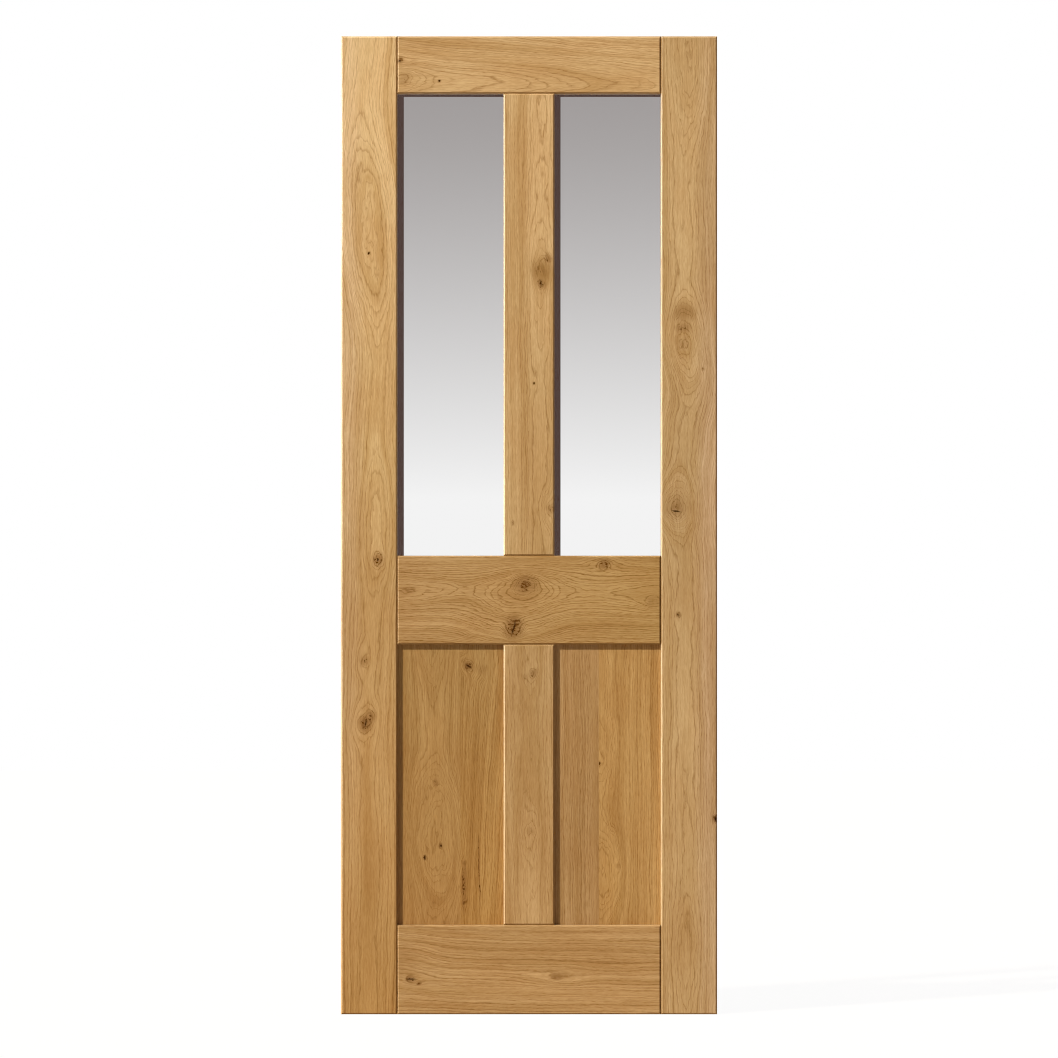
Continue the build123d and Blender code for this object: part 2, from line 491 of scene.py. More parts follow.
BOARDS = (
    Board("left_stile", "Z", AMBER, PALEST, 57, 50, 0.0, 5.0, 0.6, (
        Sway(57, 1830, 110, -17),
        Sway(57, 1370, 120, 20),
        Sway(57, 1040, 190, 15),
        Wash(12, 1150, 700, 24, (1.0, 1.02, 1.18)),
        Wash(57, 1120, 200, 300, (1.04, 1.08, 1.11)),
        Wash(57, 740, 200, 300, (0.94, 0.94, 0.93)),
        Wash(53, 430, 180, 9, (0.87, 0.81, 0.70)),
        Knot(56, 1590, 165, 66, -34, turn=-5),
        Knot(57.5, 1543, 22, 9, -3, heart=2.2, dark=1.0, slit=5),
        Knot(76, 985, 115, 50, -18),
        Knot(76.5, 921, 26, 14, -5, heart=8, dark=0.85, slit=7),
        Knot(48, 716, 32, 15, -6, heart=6, dark=0.6),
        Knot(50, 590, 40, 24, -10, heart=9, dark=0.8, slit=16, turn=8),
        Knot(62, 604, 14, 10, -2, heart=6.5, dark=0.75),
    )),
    Board("right_stile", "Z", DRAB, BUFF, 696, 60, 0.0, 4.0, 0.65, (
        Wash(748, 900, 900, 21, (1.03, 1.06, 1.30)),
        Wash(688, 1060, 230, 44, (1.0, 1.03, 1.10)),
        Sway(696, 1275, 52, 19),
        Sway(696, 1040, 70, -13),
        Knot(713, 1960, 150, 50, -22),
        Knot(700, 1358, 76, 42, -28),
        Wash(696, 1421, 15, 21, (0.68, 0.60, 0.48)),
        Stain(694, 1391, 12, 24, 0.6),
        Knot(695, 1358, 22, 16, -9, heart=7, dark=0.3),
        Knot(734, 1307, 12, 7, 3, heart=2.4, dark=0.8),
        Wash(680, 1033, 22, 22, (0.80, 0.74, 0.64)),
        Knot(684, 1036, 52, 46, -22),
        Knot(678, 1022, 30, 24, -9, heart=12, dark=0.45),
        Knot(679, 1019, 9, 9, 0, dark=0.95, slit=21, turn=-78),
        Knot(683, 810, 30, 10, -4, heart=3.4, dark=0.7, slit=4),
        Knot(704, 152, 112, 27, -13),
        Knot(703, 338, 80, 24, -7),
        Knot(759, 396, 26, 10, 6, heart=4.5, dark=1.0, slit=9),
    )),
    Board("top_rail", "X", PALE, PALE, 1886, 46, 0.085, 4.6, 0.7, (
        Knot(118, 1931, 26, 14, 5, heart=4, dark=0.8, slit=6),
        Knot(128, 1894, 36, 16, -8, heart=7, dark=0.45),
        Knot(199, 1890, 16, 8, 3, heart=2.2, dark=1.0, slit=4.5),
        Knot(560, 1960, 120, 24, 8),
    )),
    Board("lock_rail", "X", HONEY, TAN, 857, 44, 0.0, 3.8, 0.9, (
        Knot(370, 862, 66, 40, -18),
        Knot(374, 870, 28, 20, -8, heart=12, dark=0.72),
        Knot(344, 779, 84, 46, -27),
        Knot(350, 783, 22, 18, -5, heart=13, dark=0.85, slit=32, turn=75),
        Knot(532, 912, 36, 22, -9, heart=7, dark=0.85),
        Knot(640, 838, 80, 30, -12),
        Knot(632, 836, 30, 12, -5, heart=8, dark=0.38),
        Knot(112, 856, 84, 34, -14),
        Knot(206, 868, 26, 12, -4),
    )),
    Board("bottom_rail", "X", HONEY, HONEY, -80, 50, 0.02, 7.0, 0.75, (
        Wash(126, 108, 26, 26, (0.86, 0.81, 0.74)),
        Knot(104, 112, 76, 60, -22),
        Knot(143, 71, 26, 12, 6, heart=5, dark=0.7, slit=22),
        Knot(158, 62, 8, 5, 2, heart=2.4, dark=0.9),
        Knot(439, 79, 60, 18, 5, heart=8, dark=0.3),
    )),
    Board("upper_muntin", "Z", BUFF, PALE, 404, 60, 0.0, 3.8, 0.62, (
        Wash(369, 1450, 420, 8, (0.91, 0.87, 0.80)),
        Wash(409, 1503, 30, 20, (0.72, 0.64, 0.46), turn=-18),
        Knot(404, 1840, 60, 16, -5),
        Knot(409, 1700, 26, 11, -3, heart=3.2, dark=0.3),
        Knot(404, 1520, 75, 24, -13),
        Knot(405, 1506, 32, 14, -4, heart=12, dark=0.45),
        Knot(406, 1481, 18, 10, -3, heart=6, dark=0.75, slit=14, turn=-8),
        Knot(418, 1532, 20, 10, -3, heart=5.5, dark=0.65),
        Knot(402, 1400, 70, 22, -8),
        Knot(390.6, 1279, 12, 6, 2, heart=2, dark=0.95, slit=3.5),
        Knot(426, 1024, 34, 20, 9, heart=5, dark=0.75),
        Knot(348, 996, 12, 7, 2, heart=3, dark=0.6),
    )),
    Board("lower_muntin", "Z", HONEY, DRAB, 382, 90, 0.0, 3.2, 0.6, (
        Knot(385, 735, 70, 22, -6),
        Knot(390, 690, 18, 9, -3, heart=5, dark=0.75, turn=20),
        Knot(373, 684, 20, 9, -2, heart=3.6, dark=0.4),
        Knot(382, 368, 44, 18, -6),
        Knot(383, 372, 12, 12, -2, heart=5, dark=0.4),
    )),
    Board("left_panel_left_board", "Z", AMBER, TAN, 186, 50, 0.0, 4.0, 0.5, (
        Sway(186, 300, 110, 10),
        Wash(160, 700, 160, 16, (1.05, 1.06, 1.10)),
        Wash(140, 420, 260, 14, (0.93, 0.90, 0.84)),
        Knot(181, 800, 105, 44, -24),
        Knot(190, 362, 108, 60, -44),
        Knot(172, 410, 46, 15, 9, turn=6),
        Knot(214, 372, 40, 15, 8, turn=-5),
        Knot(168, 256, 28, 10, 4.5, turn=-10),
        Knot(207, 240, 24, 9, -4, turn=12),
        Knot(192, 467, 12, 9, 3, heart=4, dark=0.5),
        Knot(203, 341, 16, 8, 3, heart=3, dark=0.9, slit=4),
        Knot(170, 318, 20, 9, 3, heart=3.2, dark=0.8, slit=13, turn=8),
    )),
    Board("left_panel_right_board", "Z", RUSSET, TAN, 420, 90, 0.05, 3.4, 0.75, (
        Knot(258, 706, 30, 14, -6, heart=6, dark=0.8, turn=-50, slit=13),
        Knot(292, 700, 44, 26, 6),
        Stain(283, 700, 14, 20, 0.3),
        Stain(249, 262, 70, 7.5, 0.7),
        Knot(249, 305, 13, 7, -2, heart=3.4, dark=0.6),
        Knot(249, 228, 13, 7, -2, heart=3.6, dark=0.6),
        Stain(280, 290, 100, 2.2, 0.85, turn=-1.5),
    )),
    Board("right_panel_left_board", "Z", HONEY, HONEY, 640, 160, 0.0, 3.0, 0.6),
    Board("right_panel_right_board", "Z", GOLDEN, GOLDEN, 500, 100, 0.0, 3.2, 0.7, (
        Knot(523, 508, 26, 12, -5, heart=3, dark=1.0, slit=6),
        Knot(530, 550, 50, 20, -9),
        Knot(542, 290, 70, 34, -22),
        Knot(561, 300, 14, 8, -3, heart=3.5, dark=0.4),
        Wash(548, 262, 70, 12, (1.08, 1.09, 1.10)),
    )),
)

# The sockets of the oak's node group
OAK_INPUTS = {
    "Place": "Vector", "Parted": "Vector", "Lift": "Float", "Knots": "Float", "Slits": "Float",
    "Tone": "Color", "Pith": "Vector", "Lean": "Float", "Ring width": "Float", "Boldness": "Float",
}
OAK_OUTPUTS = {"Colour": "Color", "Roughness": "Float", "Shine": "Float", "Height": "Float"}


def ring_place(tree, board, along, radius):
    """How far from the pith a place grew, in millimetres, with all that the rings stray."""
    leaned = add(tree, MATH, {0: along, 1: board["Lean"], 2: radius}, operation="MULTIPLY_ADD")
    lifted = add(tree, MATH, {0: leaned, 1: board["Lift"]})
    wander = grain_noise(tree, board["Place"], WANDER)
    wandered = add(
        tree, MATH, {0: wander, 1: WANDER_REACH, 2: lifted}, operation="MULTIPLY_ADD"
    )
    risen = off(tree, board["Lift"])
    unrest = add(tree, MATH, {0: risen, 1: UNREST, 2: RIPPLE_REACH}, operation="MULTIPLY_ADD")
    ripple = grain_noise(tree, board["Place"], RIPPLE)
    return add(tree, MATH, {0: ripple, 1: unrest, 2: wandered}, operation="MULTIPLY_ADD")


def ring_lines(tree, grown, ring_width, upright):
    """The brown early wood of each ring, 0 to 1, wider where the rings stand upright."""
    even = add(tree, MATH, {0: grown, 1: ring_width}, operation="DIVIDE")
    slow = add(
        tree, "ShaderNodeTexNoise", {"W": even, "Scale": UNEVEN_PER_RING, "Detail": 1.0},
        noise_dimensions="1D",
    )
    turns = add(tree, MATH, {0: slow, 1: UNEVEN_REACH, 2: even}, operation="MULTIPLY_ADD")
    within = add(tree, MATH, {0: turns}, operation="FRACT")
    which = add(tree, MATH, {0: turns}, operation="FLOOR")
    chance = add(tree, "ShaderNodeTexWhiteNoise", {"W": which}, noise_dimensions="1D")
    strength = add(tree, MAP_RANGE, {"Value": chance, "To Min": FAINTEST_LINE})
    width = add(
        tree, MATH, {0: upright, 1: LINE_AT_SIDES, 2: LINE_ABOVE_PITH}, operation="MULTIPLY_ADD"
    )
    fading = faded(tree, within, (0.0, width))
    starting = add(
        tree, MAP_RANGE, {"Value": within, "From Min": LINE_START}, interpolation_type="SMOOTHSTEP"
    )
    line = add(tree, MATH, {0: fading, 1: starting}, operation="MAXIMUM")
    return add(tree, MATH, {0: line, 1: strength}, operation="MULTIPLY")


def sawn_oak(settings):
    """The figure of sawn oak as a node group, in millimetres along, across and through."""
    tree = new_group("sawn oak figure", OAK_INPUTS, OAK_OUTPUTS)
    board = tree.nodes.new("NodeGroupInput").outputs
    arm = add(tree, VECTOR, {0: board["Parted"], 1: board["Pith"]}, operation="SUBTRACT")
    flat_arm = add(tree, VECTOR, {0: arm, 1: (0, 1, 1)}, operation="MULTIPLY")
    radius = add(tree, VECTOR, {0: flat_arm}, operation="LENGTH")
    sideways = add(tree, SEPARATE, {0: flat_arm}).outputs["Y"]
    sine = add(tree, MATH, {0: sideways, 1: radius}, operation="DIVIDE")
    along = add(tree, SEPARATE, {0: board["Place"]}).outputs["X"]
    grown = ring_place(tree, board, along, radius)
    line = ring_lines(tree, grown, board["Ring width"], off(tree, sine))

    banded = add(tree, "ShaderNodeCombineXYZ", {"X": along, "Y": grown})
    bands = amount(tree, banded, BANDS)
    patches = amount(tree, board["Place"], PATCHES)
    streaks = amount(tree, board["Parted"], STREAKS)
    fibres = amount(tree, board["Parted"], FIBRES)
    specks = amount(tree, board["Place"], SPECKS)

    grained = add(
        tree, MATH, {0: fibres, 1: LINE_ON_FIBRES, 2: LINE_OFF_FIBRES}, operation="MULTIPLY_ADD"
    )
    bold = add(
        tree, MATH, {0: board["Knots"], 1: KNOT_BOLDNESS, 2: board["Boldness"]},
        operation="MULTIPLY_ADD",
    )
    line = add(tree, MATH, {0: line, 1: grained}, operation="MULTIPLY")
    line = add(tree, MATH, {0: line, 1: bold}, operation="MULTIPLY", use_clamp=True)
    pore_share = add(
        tree, MATH, {0: line, 1: PORES_ON_LINES, 2: PORES_OFF_LINES}, operation="MULTIPLY_ADD"
    )
    pores = amount(tree, board["Parted"], PORES)
    pores = add(tree, MATH, {0: pores, 1: pore_share}, operation="MULTIPLY")
    pores = add(tree, MATH, {0: pores, 1: board["Boldness"]}, operation="MULTIPLY")
    speckled = add(tree, MATH, {0: board["Knots"], 1: specks}, operation="MULTIPLY")
    core = add(
        tree, MAP_RANGE, {"Value": speckled, "From Min": CORE_START, "From Max": CORE_FULL},
        interpolation_type="SMOOTHSTEP",
    )

    colour = board["Tone"]
    for share, tint in (
        (bands, BANDS.tint), (patches, PATCHES.tint), (streaks, STREAKS.tint),
        (fibres, FIBRES.tint), (line, EARLY_WOOD), (pores, PORES.tint),
        (board["Knots"], ROUND_KNOT),
    ):
        mixed = {SHARE: share, FIRST: colour, SECOND: opaque(tint)}
        colour = add(tree, MIX, mixed, **TINTED)
    for share, cover in ((core, KNOT_BROWN), (board["Slits"], SLIT_BROWN)):
        mixed = {SHARE: share, FIRST: colour, SECOND: opaque(cover)}
        colour = add(tree, MIX, mixed, **COVERED)

    dull = add(tree, MATH, {0: line, 1: LINE_DULLNESS, 2: pores}, operation="MULTIPLY_ADD")
    dull = add(tree, MATH, {0: core, 1: dull})
    dull = add(tree, MATH, {0: dull, 1: board["Slits"]}, use_clamp=True)
    shine = add(
        tree, MAP_RANGE, {"Value": dull, "To Min": settings.lacquer_shine, "To Max": DULL_SHINE}
    )
    rough = add(
        tree, MATH, {0: pores, 1: PORE_ROUGHNESS, 2: LACQUER_ROUGHNESS}, operation="MULTIPLY_ADD"
    )
    height = 0.0
    for share, depth in (
        (pores, PORE_DEPTH), (line, LINE_DEPTH), (core, KNOT_DEPTH), (board["Slits"], SLIT_DEPTH),
    ):
        height = add(tree, MATH, {0: share, 1: -depth, 2: height}, operation="MULTIPLY_ADD")
    add(
        tree, "NodeGroupOutput",
        {"Colour": colour, "Roughness": rough, "Shine": shine, "Height": height},
    )


def sawn_end(tree):
    """1 on the sawn ends of a stile or rail, between its two oak faces, and 0 elsewhere."""
    facing = add(tree, "ShaderNodeTexCoord").outputs["Normal"]
    upward = add(tree, SEPARATE, {0: facing}).outputs["Z"]
    height, _, through = add(tree, SEPARATE, {0: board_space(tree, "Z")}).outputs
    middle = LEAF_HEIGHT / 2
    level = add(tree, MATH, {0: off(tree, upward), 1: STEEP}, operation="GREATER_THAN")
    outermost = add(
        tree, MATH, {0: off(tree, height, middle), 1: middle - END_MARGIN},
        operation="GREATER_THAN",
    )
    inner = add(
        tree, MATH, {0: off(tree, through), 1: CORE_THICKNESS / 2}, operation="LESS_THAN"
    )
    sawn = add(tree, MATH, {0: level, 1: outermost}, operation="MULTIPLY")
    return add(tree, MATH, {0: sawn, 1: inner}, operation="MULTIPLY")


def softwood_core():
    """The jointed softwood staves inside a stile or rail, as they show at its sawn ends."""
    tree = new_group("softwood core", {"Place": "Vector"}, {"Colour": "Color", "Share": "Float"})
    place = tree.nodes.new("NodeGroupInput").outputs["Place"]
    across = add(tree, SEPARATE, {0: place}).outputs["Y"]
    count = add(tree, MATH, {0: across, 1: STAVE_WIDTH}, operation="DIVIDE")
    stave = add(tree, MATH, {0: count}, operation="FLOOR")
    within = add(tree, MATH, {0: count}, operation="FRACT")
    chance = add(tree, "ShaderNodeTexWhiteNoise", {"W": stave}, noise_dimensions="1D").outputs
    swing = add(tree, VECTOR, {0: chance["Color"], 1: MID_NOISE}, operation="SUBTRACT")
    spread = add(
        tree, VECTOR, {0: swing, 1: (0, STAVE_SWING, STAVE_SWING), 2: place},
        operation="MULTIPLY_ADD",
    )
    flat = add(tree, VECTOR, {0: spread, 1: (0, 1, 1)}, operation="MULTIPLY")
    arm = add(tree, VECTOR, {0: flat, 1: (0, RIGHT_JOINT, 0)}, operation="SUBTRACT")
    radius = add(tree, VECTOR, {0: arm}, operation="LENGTH")
    turns = add(tree, MATH, {0: radius, 1: SOFTWOOD_RING}, operation="DIVIDE")
    ring = add(tree, MATH, {0: turns}, operation="FRACT")
    late_wood = add(tree, MAP_RANGE, {"Value": ring, "From Min": LATE_WOOD})
    glue = faded(tree, within, GLUE_EDGE, curve="LINEAR")
    staves = {SHARE: chance["Value"], FIRST: opaque(STAVE_PALE), SECOND: opaque(STAVE_TAN)}
    colour = add(tree, MIX, staves, **COVERED)
    ringed = {SHARE: late_wood, FIRST: colour, SECOND: opaque(LATE_WOOD_TINT)}
    colour = add(tree, MIX, ringed, **TINTED)
    glued = {SHARE: glue, FIRST: colour, SECOND: opaque(GLUE_BROWN)}
    colour = add(tree, MIX, glued, **COVERED)
    add(tree, "NodeGroupOutput", {"Colour": colour, "Share": sawn_end(tree)})


def vee_painted_shade():
    """1 where shade is painted into the bottom of the vees between the stiles and the rails, as a
    node group.
    """
    tree = new_group("painted vee shade", {}, {"Share": "Float"})
    height, across, through = add(tree, SEPARATE, {0: board_space(tree, "Z")}).outputs
    middle = LEAF_WIDTH / 2
    off_joint = off(tree, off(tree, across, middle), RIGHT_JOINT - middle)
    near = add(tree, MATH, {0: off_joint, 1: VEE_SHADE_HALF_WIDTH}, operation="LESS_THAN")
    outward = add(
        tree, MATH, {0: off(tree, through), 1: LEAF_THICKNESS / 2 - VEE_DEPTH},
        operation="GREATER_THAN",
    )
    railed = 0.0
    for rail in RAILS:
        foot, head = (corner[2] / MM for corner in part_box(rail))
        beside = add(
            tree, MATH, {0: off(tree, height, (foot + head) / 2), 1: (head - foot) / 2},
            operation="LESS_THAN",
        )
        railed = add(tree, MATH, {0: beside, 1: railed}, operation="MAXIMUM")
    share = add(tree, MATH, {0: near, 1: outward}, operation="MULTIPLY")
    share = add(tree, MATH, {0: share, 1: railed}, operation="MULTIPLY")
    add(tree, "NodeGroupOutput", {"Share": share})


def crooked(tree, place):
    """The same place pushed about a little, so that no mark on it is a true ellipse."""
    bend = grain_noise(tree, place, CROOKS).outputs["Color"]
    push = add(tree, VECTOR, {0: bend, 1: MID_NOISE}, operation="SUBTRACT")
    return add(tree, VECTOR, {0: push, 1: CROOK_REACH, 2: place}, operation="MULTIPLY_ADD")


def marked(tree, board, place, stain):
    """What a board's marks add up to, by the input of the figure that each goes into."""
    axis = 2 if board.grain == "Z" else 0
    foot, head = (corner[axis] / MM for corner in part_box(board.node))
    along = add(tree, SEPARATE, {0: place}).outputs["X"]
    # From foot to head the tone changes: partly the oak's own tone, partly painted light that
    # makes most boards paler towards the top and the left
    up = add(tree, MAP_RANGE, {"Value": along, "From Min": foot, "From Max": head})
    tones = {SHARE: up, FIRST: opaque(board.foot, stain), SECOND: opaque(board.head, stain)}
    sums = {
        "Tone": add(tree, MIX, tones, **COVERED), "Parted": place, "Lift": 0.0, "Knots": 0.0,
        "Slits": 0.0,
    }
    bent = crooked(tree, place)
    for mark in board.marks:
        centre = (mark.z, mark.x, 0) if board.grain == "Z" else (mark.x, mark.z, 0)
        mark.draw(tree, sums, centre, place, bent)
    return sums


def board_material(board, settings):
    """Planed oak with a satin lacquer: its rings, knots and pores show through the clear coat."""
    material, tree, shader = new_material("planed oak, " + board.node.replace("_", " "))
    groups = bpy.data.node_groups
    place = board_space(tree, board.grain)
    fed = marked(tree, board, place, settings.stain) | {
        "Place": place, "Pith": (0, board.pith, -board.depth), "Lean": board.lean,
        "Ring width": board.ring, "Boldness": board.bold,
    }
    oak = add(tree, GROUP, fed, node_tree=groups["sawn oak figure"]).outputs
    core = add(tree, GROUP, {"Place": place}, node_tree=groups["softwood core"]).outputs
    cored = {SHARE: core["Share"], FIRST: oak["Colour"], SECOND: core["Colour"]}
    colour = add(tree, MIX, cored, **COVERED)
    # Shade painted as a dark line into the bottom of each vee where a stile meets a rail
    if board.node.endswith(("stile", "rail")):
        vee = add(tree, GROUP, node_tree=groups["painted vee shade"])
        vee_shaded = {SHARE: vee, FIRST: colour, SECOND: opaque(VEE_SHADE_BROWN)}
        colour = add(tree, MIX, vee_shaded, **COVERED)
    relief = {"Strength": RELIEF, "Distance": MM, "Height": oak["Height"]}
    bump = add(tree, "ShaderNodeBump", relief)
    # The socket keeps this number as well as the link to the shine, for whatever reads it without
    # its links. The export drops the link to the shine and keeps this number
    feed(tree, shader, {"Specular IOR Level": settings.lacquer_shine})
    feed(tree, shader, {
        "Base Color": colour, "Roughness": oak["Roughness"],
        "Specular IOR Level": oak["Shine"], "Normal": bump,
    })
    return material


def give(node, material):
    """Puts a material on a CAD node."""
    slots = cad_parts[node].data.materials
    slots.clear()
    slots.append(material)


def float_glass(settings):
    """Clear float glass: it bends and mirrors what is round it, and lets the lamps through."""
    material, tree, shader = new_material("clear float glass")
    smears = amount(tree, board_space(tree, "Z"), SMEARS)
    rough = add(tree, MATH, {0: smears, 1: GLASS_SMEAR}, operation="MULTIPLY")
    feed(tree, shader, {
        "Base Color": (*settings.glass_tint, 1.0), "Roughness": rough, "IOR": GLASS_IOR,
        "Transmission Weight": 1.0,
    })
    clear = add(tree, "ShaderNodeBsdfTransparent")
    shadow_ray = add(tree, "ShaderNodeLightPath").outputs["Is Shadow Ray"]
    surface = add(tree, "ShaderNodeMixShader", {0: shadow_ray, 1: shader, 2: clear})
    feed(tree, tree.nodes["Material Output"], {"Surface": surface})
    return material


def pitted_surface(name, pattern, dark, pale, pit_depth, pit_strength, roughness):
    """A matt surface whose mottle and pits follow one pattern."""
    material, tree, shader = new_material(name)
    place = board_space(tree, "Z")
    shades = {SHARE: amount(tree, place, pattern), FIRST: opaque(dark), SECOND: opaque(pale)}
    noise = grain_noise(tree, place, pattern)
    pits = {"Strength": pit_strength, "Distance": pit_depth, "Height": noise}
    feed(tree, shader, {
        "Base Color": add(tree, MIX, shades, **COVERED), "Roughness": roughness,
        "Normal": add(tree, "ShaderNodeBump", pits),
    })
    return material


def sealing_tape():
    """Brown closed-cell glazing tape: matt, and slightly pitted where it was cut."""
    return pitted_surface(
        "brown glazing tape", CELLS, dark="33261C", pale="4A392B", pit_depth=0.2 * MM,
        pit_strength=0.5, roughness=0.8,
    )


def wood_filler():
    """Brown wood filler: matt, speckled, and a little darker than the bead round it."""
    return pitted_surface(
        "brown wood filler", GRIT, dark="6E4A26", pale="9A7040", pit_depth=0.1 * MM,
        pit_strength=0.4, roughness=0.75,
    )


def pin_places(spacing):
    """Where the pins go through the beads, at the back of the leaf."""
    for side in SIDES:
        for place in PANE_SIDES:
            low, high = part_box(f"{side}_pane_{place}_bead")
            middle = (Vector(low) + Vector(high)) / 2
            axis = 2 if place in SIDES else 0
            length = high[axis] - low[axis]
            count = max(2, round(length / spacing))
            for step in range(count):
                point = Vector((middle.x, high[1], middle.z))
                point[axis] = low[axis] + length * (step + 0.5) / count
                yield point


def object_from(mesh, name):
    """An object in the scene from a finished bmesh."""
    data = bpy.data.meshes.new(name)
    mesh.to_mesh(data)
    mesh.free()
    made = bpy.data.objects.new(name, data)
    bpy.context.scene.collection.objects.link(made)
    return made


def filled_pin_holes(settings):
    """Small discs of filler, a hair proud of the beads, over the pins that hold them."""
    mesh = bmesh.new()
    flat_back = Matrix.Rotation(math.radians(90), 4, "X")
    for point in pin_places(settings.pin_spacing):
        bmesh.ops.create_cone(
            mesh, cap_ends=True, segments=FILLER_CORNERS, radius1=settings.pin_radius,
            radius2=settings.pin_radius, depth=FILLER_PROUD * 2,
            matrix=Matrix.Translation(point) @ flat_back,
        )
    holes = object_from(mesh, "filled_pin_holes")
    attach(holes, "root")
    return holes


def flat_sheet(name, corners):
    """A flat piece of stage from its four corners, in metres."""
    mesh = bmesh.new()
    mesh.faces.new([mesh.verts.new(corner) for corner in corners])
    sheet = object_from(mesh, name)
    return sheet


def card(name, left, right, bottom, top, back, material):
    """An upright card that shows to no ray but those that have come through a pane."""
    sheet = flat_sheet(name, (
        (left, back, bottom), (right, back, bottom), (right, back, top), (left, back, top),
    ))
    sheet.data.materials.append(material)
    sheet.visible_camera = False
    sheet.visible_diffuse = False
    sheet.visible_glossy = False
    sheet.visible_shadow = False
    sheet.visible_volume_scatter = False


def glowing_card(name, foot, head, fall, low, high):
    """A card that glows by itself, from one colour at its foot to another at its head."""
    material = bpy.data.materials.new(name)
    material.use_nodes = True
    tree = material.node_tree
    tree.nodes.remove(tree.nodes["Principled BSDF"])
    coordinates = add(tree, "ShaderNodeTexCoord").outputs["Object"]
    height = add(tree, SEPARATE, {0: coordinates}).outputs["Z"]
    down = add(tree, MAP_RANGE, {"Value": height, "From Min": high, "From Max": low})
    eased = add(tree, MATH, {0: down, 1: fall}, operation="POWER")
    graded = {SHARE: eased, FIRST: opaque(head), SECOND: opaque(foot)}
    colour = add(tree, MIX, graded, **COVERED)
    glow = add(tree, "ShaderNodeEmission", {"Color": colour, "Strength": 1.0})
    feed(tree, tree.nodes["Material Output"], {"Surface": glow})
    return material


def cards_behind_panes(settings):
    """A graduated card behind each pane. A dark one behind it shows past its edge as shade."""
    foot, head = (corner[2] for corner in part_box("left_pane"))
    back = LEAF_THICKNESS / 2 * MM + settings.card_gap
    pale = glowing_card(
        "graduated card", CARD_FOOT, CARD_HEAD, settings.card_fall, foot + WHITE_FROM, head
    )
    for side in SIDES:
        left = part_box(f"{side}_pane_left_bead")[1][0] + settings.shade_width
        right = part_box(f"{side}_pane_right_bead")[1][0]
        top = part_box(f"{side}_pane_top_bead")[0][2] - settings.shade_height
        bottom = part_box(f"{side}_pane_bottom_bead")[1][2] - CARD_DROP
        card(f"graduated_card_{side}", left, right, bottom, top, back, pale)
    dark = glowing_card("shade card", SHADE_BROWN, SHADE_BROWN, 1.0, 0.0, head)
    card("shade_card", 0, LEAF_WIDTH * MM, 0, LEAF_HEIGHT * MM, back + SHADE_GAP, dark)


def seen(tree):
    """1 for what the camera sees, by itself or through glass."""
    rays = add(tree, "ShaderNodeLightPath").outputs
    return add(
        tree, MATH, {0: rays["Is Camera Ray"], 1: rays["Is Transmission Ray"]},
        operation="MAXIMUM",
    )


def floor_paint(settings):
    """Pale matt floor paint that shows white, and keeps a little of the leaf's soft shadow."""
    material, tree, shader = new_material("pale floor paint")
    coordinates = add(tree, "ShaderNodeTexCoord").outputs["Object"]
    mottle = add(tree, "ShaderNodeTexNoise", {"Vector": coordinates, "Scale": FLOOR_MOTTLE})
    rough = add(tree, MAP_RANGE, {"Value": mottle, "To Min": 0.7, "To Max": 0.85})
    feed(tree, shader, {
        "Base Color": opaque(FLOOR_BUFF), "Roughness": rough, "Specular IOR Level": 0.1,
    })
    white = add(tree, "ShaderNodeEmission", {"Strength": FLOOR_GLOW})
    share = add(tree, MATH, {0: seen(tree), 1: settings.floor_white}, operation="MULTIPLY")
    surface = add(tree, "ShaderNodeMixShader", {0: share, 1: shader, 2: white})
    feed(tree, tree.nodes["Material Output"], {"Surface": surface})
    return material


def white_world(settings):
    """White where it is seen, mirrored or looked through, and softer where it only lights."""
    world = bpy.data.worlds.new("white studio")
    bpy.context.scene.world = world
    world.use_nodes = True
    tree = world.node_tree
    glossy = add(tree, "ShaderNodeLightPath").outputs["Is Glossy Ray"]
    camera = seen(tree)
    unseen_strength = add(
        tree, MAP_RANGE, {"Value": glossy, "To Min": settings.fill, "To Max": settings.mirrored}
    )
    strength = add(tree, MAP_RANGE, {"Value": camera, "To Min": unseen_strength})
    plain = add(tree, MATH, {0: camera, 1: glossy}, operation="MAXIMUM")
    tones = {SHARE: plain, FIRST: (*settings.fill_colour, 1.0), SECOND: opaque(WHITE)}
    feed(tree, tree.nodes["Background"], {
        "Color": add(tree, MIX, tones, **COVERED), "Strength": strength,
    })


def lamp_from(name, direction, strength, spread, colour=(1, 1, 1)):
    """A distant soft lamp that shines from a direction, given from the leaf towards it."""
    data = bpy.data.lights.new(name, "SUN")
    data.energy = strength
    data.color = colour
    data.angle = math.radians(spread)
    lamp = bpy.data.objects.new(name, data)
    lamp.rotation_euler = Vector(direction).to_track_quat("Z", "Y").to_euler()
    lamp.location = Vector(direction).normalized() * LAMP_DISTANCE
    bpy.context.scene.collection.objects.link(lamp)
    return lamp


def light_only(lamps, nodes):
    """Lets lamps light some nodes and no others."""
    lit = bpy.data.collections.new("grazed by the rim lamps")
    for node in nodes:
        lit.objects.link(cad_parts[node])
    for lamp in lamps:
        lamp.light_linking.receiver_collection = lit


def front_camera(settings):
    """A long lens level with the middle of the leaf, as far off as the photograph's scale says."""
    data = bpy.data.cameras.new("front camera")
    data.lens = settings.lens
    data.sensor_width = SENSOR_WIDTH
    data.clip_end = CLIP_END
    camera = bpy.data.objects.new("front camera", data)
    millimetres_a_pixel = LEAF_HEIGHT / settings.leaf_pixels
    picture_width = IMAGE_PIXELS * millimetres_a_pixel * MM
    distance = picture_width * settings.lens / SENSOR_WIDTH
    drop = settings.leaf_rise_pixels * millimetres_a_pixel * MM
    camera.location = (
        LEAF_WIDTH * MM / 2, -LEAF_THICKNESS * MM / 2 - distance, LEAF_HEIGHT * MM / 2 - drop
    )
    camera.rotation_euler = (math.radians(90), 0, 0)
    bpy.context.scene.collection.objects.link(camera)
    bpy.context.scene.camera = camera


